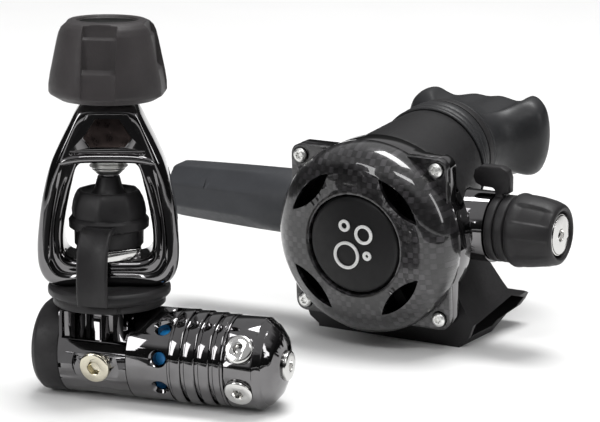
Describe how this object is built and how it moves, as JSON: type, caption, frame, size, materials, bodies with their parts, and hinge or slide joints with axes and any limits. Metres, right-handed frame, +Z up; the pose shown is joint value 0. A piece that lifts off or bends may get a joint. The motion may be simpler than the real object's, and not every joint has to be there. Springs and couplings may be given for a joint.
{
  "type": "scuba regulator set",
  "caption": "Yoke-clamp first stage with a ported turret, standing beside a demand second stage with purge button, adjusting knob, mouthpiece and exhaust tee.",
  "frame": {"origin": "middle of the set's bounding box, on the surface that it stands on", "axes": "+Z up, along the yoke; +Y away from the front of the covers"},
  "size_m": [0.23, 0.2308, 0.1484],
  "materials": {
    "black_chrome": "dark mirror plating with a warm tint",
    "chrome": "bright plating",
    "brass": "machined",
    "steel": "drawn wire and turned steel",
    "rubber": "moulded, matt",
    "silicone": "moulded, satin",
    "matte_black": "fine grain",
    "carbon": "woven carbon look under clear lacquer",
    "blue": "satin",
    "white": "printed white",
    "seat_plastic": "machined"
  },
  "bodies": {
    "first_stage": {"inlet_body": "black_chrome", "ambient_body": "black_chrome", "end_guard": "rubber", "end_plug": "black_chrome", "main_seat": "seat_plastic", "main_spring": "steel", "thermal_sleeve": "blue", "end_plate": "black_chrome", "turret_retainer": "black_chrome", "lp_plug_axial": "chrome", "gauge_port_plugs": "chrome", "base_collar": "rubber", "strap_ring": "rubber", "yoke_retainer": "chrome", "inlet_oring": "rubber", "inlet_filter": "brass", "filter_clip": "steel", "yoke": "black_chrome", "dust_cap_strap": "rubber"},
    "piston": {"piston": "chrome", "piston_oring": "rubber"},
    "turret": {"turret": "black_chrome", "lp_port_plugs": "chrome"},
    "screw_pad": {"thrust_pad": "steel"},
    "knob": {"yoke_screw": "chrome", "yoke_knob": "rubber", "knob_badge": "black_chrome"},
    "dust_cap": {"dust_cap": "rubber"},
    "second_stage": {"case": "black_chrome", "tube_sleeve": "matte_black", "front_cover": "carbon", "cover_screws": "chrome", "purge_guide": "matte_black", "clamp_ring": "matte_black", "diaphragm": "silicone", "valve_barrel": "brass", "orifice": "chrome", "knob_collar": "rubber", "inlet_nut": "chrome", "exhaust_tee": "rubber", "exhaust_valve": "silicone", "mouthpiece": "silicone", "mouthpiece_clamp": "matte_black", "purge_spring": "steel", "poppet_spring": "steel"},
    "purge": {"purge_button": "matte_black", "purge_emblem": "white"},
    "diaphragm_centre": {"diaphragm_disc": "steel"},
    "lever": {"demand_lever": "steel"},
    "poppet": {"poppet": "matte_black"},
    "adjuster": {"adjust_screw": "brass", "adjust_knob": "rubber", "knob_end_cap": "chrome"},
    "spring_pad": {"spring_pad": "brass"},
    "dive_lever": {"dive_lever": "matte_black"},
    "hose_end": {"hose_tail": "brass", "hose_protector": "rubber"}
  },
  "joints": [
    {"name": "second_stage_lift", "type": "slide", "parent": "first_stage", "child": "second_stage", "axis": [0, 0, 1], "range_m": [0, 0.1]},
    {"name": "knob_turn", "type": "hinge", "parent": "screw_pad", "child": "knob", "pos_m": [-0.08443, -0.07488, 0.1176], "axis": [0, 0, 1], "range_deg": [0, 720]},
    {"name": "screw_feed", "type": "slide", "parent": "first_stage", "child": "screw_pad", "axis": [0, 0, 1], "range_m": [0, 0.00361]},
    {"name": "dust_cap_lift", "type": "slide", "parent": "first_stage", "child": "dust_cap", "axis": [0, 0, 1], "range_m": [0, 0.0031], "deforming": ["dust_cap_strap"]},
    {"name": "turret_swivel", "type": "hinge", "parent": "first_stage", "child": "turret", "pos_m": [-0.02868, -0.09667, 0.0185], "axis": [0.9314, -0.3641, 0], "continuous": true},
    {"name": "piston_slide", "type": "slide", "parent": "first_stage", "child": "piston", "axis": [0.9314, -0.3641, 0], "range_m": [0, 0.0012], "stiffness_N_per_m": 9000, "springref_m": 0.0012, "deforming": ["main_spring"]},
    {"name": "purge_press", "type": "slide", "parent": "second_stage", "child": "purge", "axis": [0.5353, 0.8403, 0.0854], "range_m": [0, 0.004], "stiffness_N_per_m": 400, "springref_m": -0.002, "deforming": ["purge_spring"]},
    {"name": "diaphragm_travel", "type": "slide", "parent": "second_stage", "child": "diaphragm_centre", "axis": [0.5353, 0.8403, 0.0854], "range_m": [0, 0.0041]},
    {"name": "lever_tilt", "type": "hinge", "parent": "second_stage", "child": "lever", "pos_m": [0.02194, 0.01328, 0.04871], "axis": [-0.0459, -0.072, 0.9963], "range_deg": [0, 13.6]},
    {"name": "poppet_slide", "type": "slide", "parent": "second_stage", "child": "poppet", "axis": [0.8434, -0.5373, 0], "range_m": [0, 0.0021], "deforming": ["poppet_spring"]},
    {"name": "adjuster_turn", "type": "hinge", "parent": "second_stage", "child": "adjuster", "pos_m": [0.08329, -0.01067, 0.05201], "axis": [0.8434, -0.5373, 0], "range_deg": [0, 720]},
    {"name": "spring_pad_feed", "type": "slide", "parent": "second_stage", "child": "spring_pad", "axis": [-0.8434, 0.5373, 0], "range_m": [0, 0.0031]},
    {"name": "dive_lever_swing", "type": "hinge", "parent": "second_stage", "child": "dive_lever", "pos_m": [0.07688, -0.00658, 0.05201], "axis": [0.8434, -0.5373, 0], "range_deg": [-40, 0]},
    {"name": "hose_swivel", "type": "hinge", "parent": "second_stage", "child": "hose_end", "pos_m": [-0.00578, 0.04607, 0.05201], "axis": [0.8434, -0.5373, 0], "continuous": true}
  ],
  "couplings": [
    {"joint": "screw_feed", "follows": "knob_turn", "m_per_rad": 0.00028648},
    {"joint": "dust_cap_lift", "follows": "knob_turn", "m_per_rad": 0.00023873},
    {"joint": "diaphragm_travel", "follows": "purge_press", "ratio": 1},
    {"joint": "lever_tilt", "follows": "purge_press", "rad_per_m": 58.032},
    {"joint": "poppet_slide", "follows": "purge_press", "ratio": 0.5},
    {"joint": "spring_pad_feed", "follows": "adjuster_turn", "m_per_rad": 0.00023873}
  ]
}
